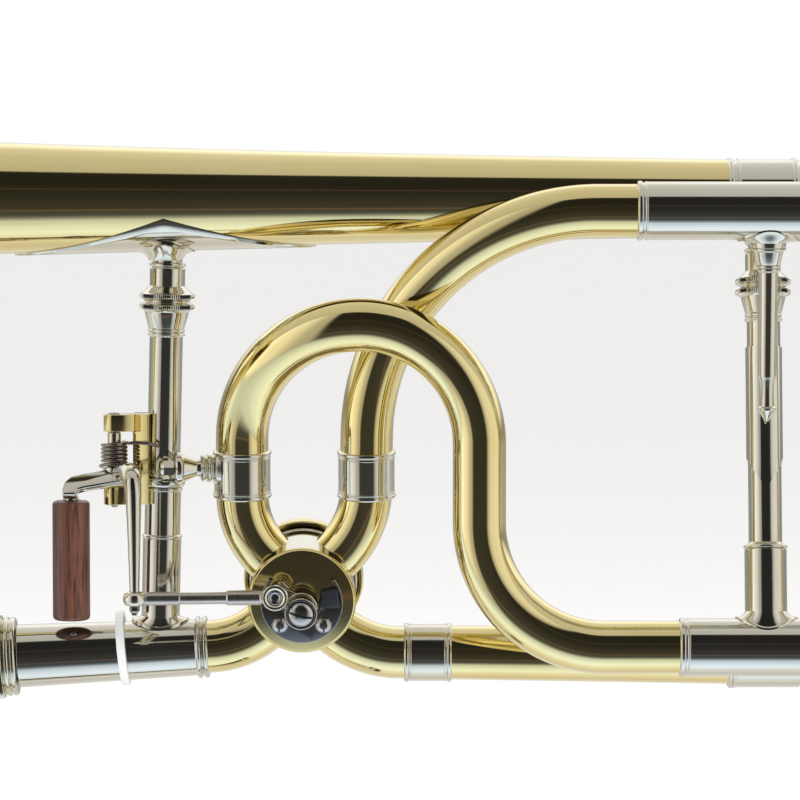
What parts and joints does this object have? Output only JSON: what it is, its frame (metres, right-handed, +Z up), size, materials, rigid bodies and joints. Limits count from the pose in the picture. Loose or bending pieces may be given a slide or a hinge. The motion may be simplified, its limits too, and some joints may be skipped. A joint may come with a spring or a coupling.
{
  "type": "trombone",
  "caption": "Tenor trombone with an open-wrap F attachment: rotary valve with linkage, thumb trigger, sliding handslide and tuning slides.",
  "frame": {"origin": "in the left hand's grip, where the bell brace's axis crosses the slide receiver's axis", "axes": "+X rearwards, from the slide towards the player; +Z up, with the bell above the slide; -Y is the side that the valve's linkage faces"},
  "size_m": [1.175, 0.2184, 0.3731],
  "materials": {
    "lacquered_brass": "polished yellow brass under clear lacquer",
    "nickel_silver": "polished nickel silver, warm white",
    "blued_steel": "dark oiled steel",
    "black_rubber": "moulded black rubber",
    "natural_nylon": "turned natural nylon, slightly translucent",
    "rosewood": "turned rosewood, oiled satin",
    "silver_plate": "bright silver or chrome plate"
  },
  "bodies": {
    "bell_section": {"bell": "lacquered_brass", "bell_flange": "nickel_silver", "bell_tail_sleeve": "nickel_silver", "brace_foot": "nickel_silver", "brace_tube": "nickel_silver", "brace_union": "nickel_silver", "f_left_ferrule": "nickel_silver", "f_left_loop": "lacquered_brass", "f_left_port_bend": "lacquered_brass", "f_lower_sleeve": "nickel_silver", "f_right_ferrule": "nickel_silver", "f_right_loop": "lacquered_brass", "f_right_port_bend": "lacquered_brass", "f_upper_sleeve": "nickel_silver", "gooseneck_ferrule": "nickel_silver", "gooseneck_sleeve": "nickel_silver", "gooseneck_tube": "lacquered_brass", "guard_ring": "natural_nylon", "hinge_block": "lacquered_brass", "hinge_pin": "blued_steel", "rear_brace": "nickel_silver", "rear_strut": "nickel_silver", "slide_receiver": "nickel_silver", "stop_bumper_left": "black_rubber", "stop_bumper_right": "black_rubber", "stop_plate": "blued_steel", "trigger_spring": "blued_steel", "valve_back_cap": "lacquered_brass", "valve_casing": "nickel_silver", "valve_entry_tube": "lacquered_brass", "valve_exit_tube": "lacquered_brass", "valve_front_plate": "lacquered_brass", "wrap_strut": "nickel_silver"},
    "lock_nut": {"slide_lock_nut": "nickel_silver"},
    "handslide_inner": {"bell_side_barrel": "nickel_silver", "player_side_barrel": "nickel_silver", "mouthpiece_receiver": "nickel_silver", "inner_slide_bell_side": "silver_plate", "inner_slide_player_side": "silver_plate", "inner_slide_brace": "nickel_silver"},
    "slide_lock": {"slide_lock_ring": "nickel_silver"},
    "outer_slide": {"outer_slide_bell_side": "lacquered_brass", "outer_slide_player_side": "lacquered_brass", "outer_slide_brace": "nickel_silver", "slide_crook": "nickel_silver", "slide_bumper": "black_rubber", "water_key_saddle": "nickel_silver"},
    "water_key": {"water_key": "nickel_silver"},
    "mouthpiece": {"mouthpiece": "silver_plate"},
    "main_tuning_slide": {"tuning_leg_upper": "nickel_silver", "tuning_leg_lower": "nickel_silver", "tuning_bow": "lacquered_brass", "tuning_bow_brace": "nickel_silver"},
    "f_tuning_slide": {"f_slide_bow": "nickel_silver"},
    "valve_rotor": {"rotor": "lacquered_brass", "stop_arm": "nickel_silver", "rotor_screw": "nickel_silver"},
    "trigger": {"trigger_lever": "nickel_silver", "trigger_barrel": "rosewood"},
    "link": {"link_rod": "nickel_silver"}
  },
  "joints": [
    {"name": "lock_nut_turn", "type": "hinge", "parent": "bell_section", "child": "lock_nut", "pos_m": [-0.05194, 0, -0.00257], "axis": [0.9988, 0, 0.0494], "continuous": true},
    {"name": "slide_swivel", "type": "hinge", "parent": "bell_section", "child": "handslide_inner", "pos_m": [-0.05993, 0, -0.00296], "axis": [0.9988, 0, 0.0494], "range_deg": [0, 100]},
    {"name": "slide_lock_turn", "type": "hinge", "parent": "handslide_inner", "child": "slide_lock", "pos_m": [-0.11751, 0, -0.09392], "axis": [0.9988, 0, 0.0494], "range_deg": [0, 40]},
    {"name": "handslide_run", "type": "slide", "parent": "handslide_inner", "child": "outer_slide", "axis": [-0.9988, 0, -0.0494], "range_m": [0, 0.56]},
    {"name": "water_key_press", "type": "hinge", "parent": "outer_slide", "child": "water_key", "pos_m": [-0.74591, -0.0133, -0.08093], "axis": [-0.0494, 0, 0.9988], "range_deg": [0, 15], "stiffness_Nm_per_rad": 0.02, "springref_deg": -34.38},
    {"name": "mouthpiece_pull", "type": "slide", "parent": "handslide_inner", "child": "mouthpiece", "axis": [0.9988, 0, 0.0494], "range_m": [0, 0.03]},
    {"name": "main_tuning_pull", "type": "slide", "parent": "bell_section", "child": "main_tuning_slide", "axis": [1, 0, 0], "range_m": [0, 0.06]},
    {"name": "f_tuning_pull", "type": "slide", "parent": "bell_section", "child": "f_tuning_slide", "axis": [1, 0, 0], "range_m": [0, 0.05]},
    {"name": "trigger_press", "type": "hinge", "parent": "bell_section", "child": "trigger", "pos_m": [-0.0149, -0.005, 0.05], "axis": [0, 0, 1], "range_deg": [0, 30.2], "stiffness_Nm_per_rad": 0.06, "springref_deg": -34.38},
    {"name": "rotor_turn", "type": "hinge", "parent": "bell_section", "child": "valve_rotor", "pos_m": [0.0399, 0, 0.0179], "axis": [0, 0.9848, 0.1736], "range_deg": [0, 90]},
    {"name": "link_turn", "type": "hinge", "parent": "trigger", "child": "link", "pos_m": [-0.00765, -0.0305, 0.0182], "axis": [0.0112, -0.1158, -0.9932], "range_deg": [0, 41.4]}
  ],
  "couplings": [
    {"joint": "rotor_turn", "follows": "trigger_press", "ratio": 2.9765},
    {"joint": "link_turn", "follows": "trigger_press", "ratio": 1.3676}
  ]
}
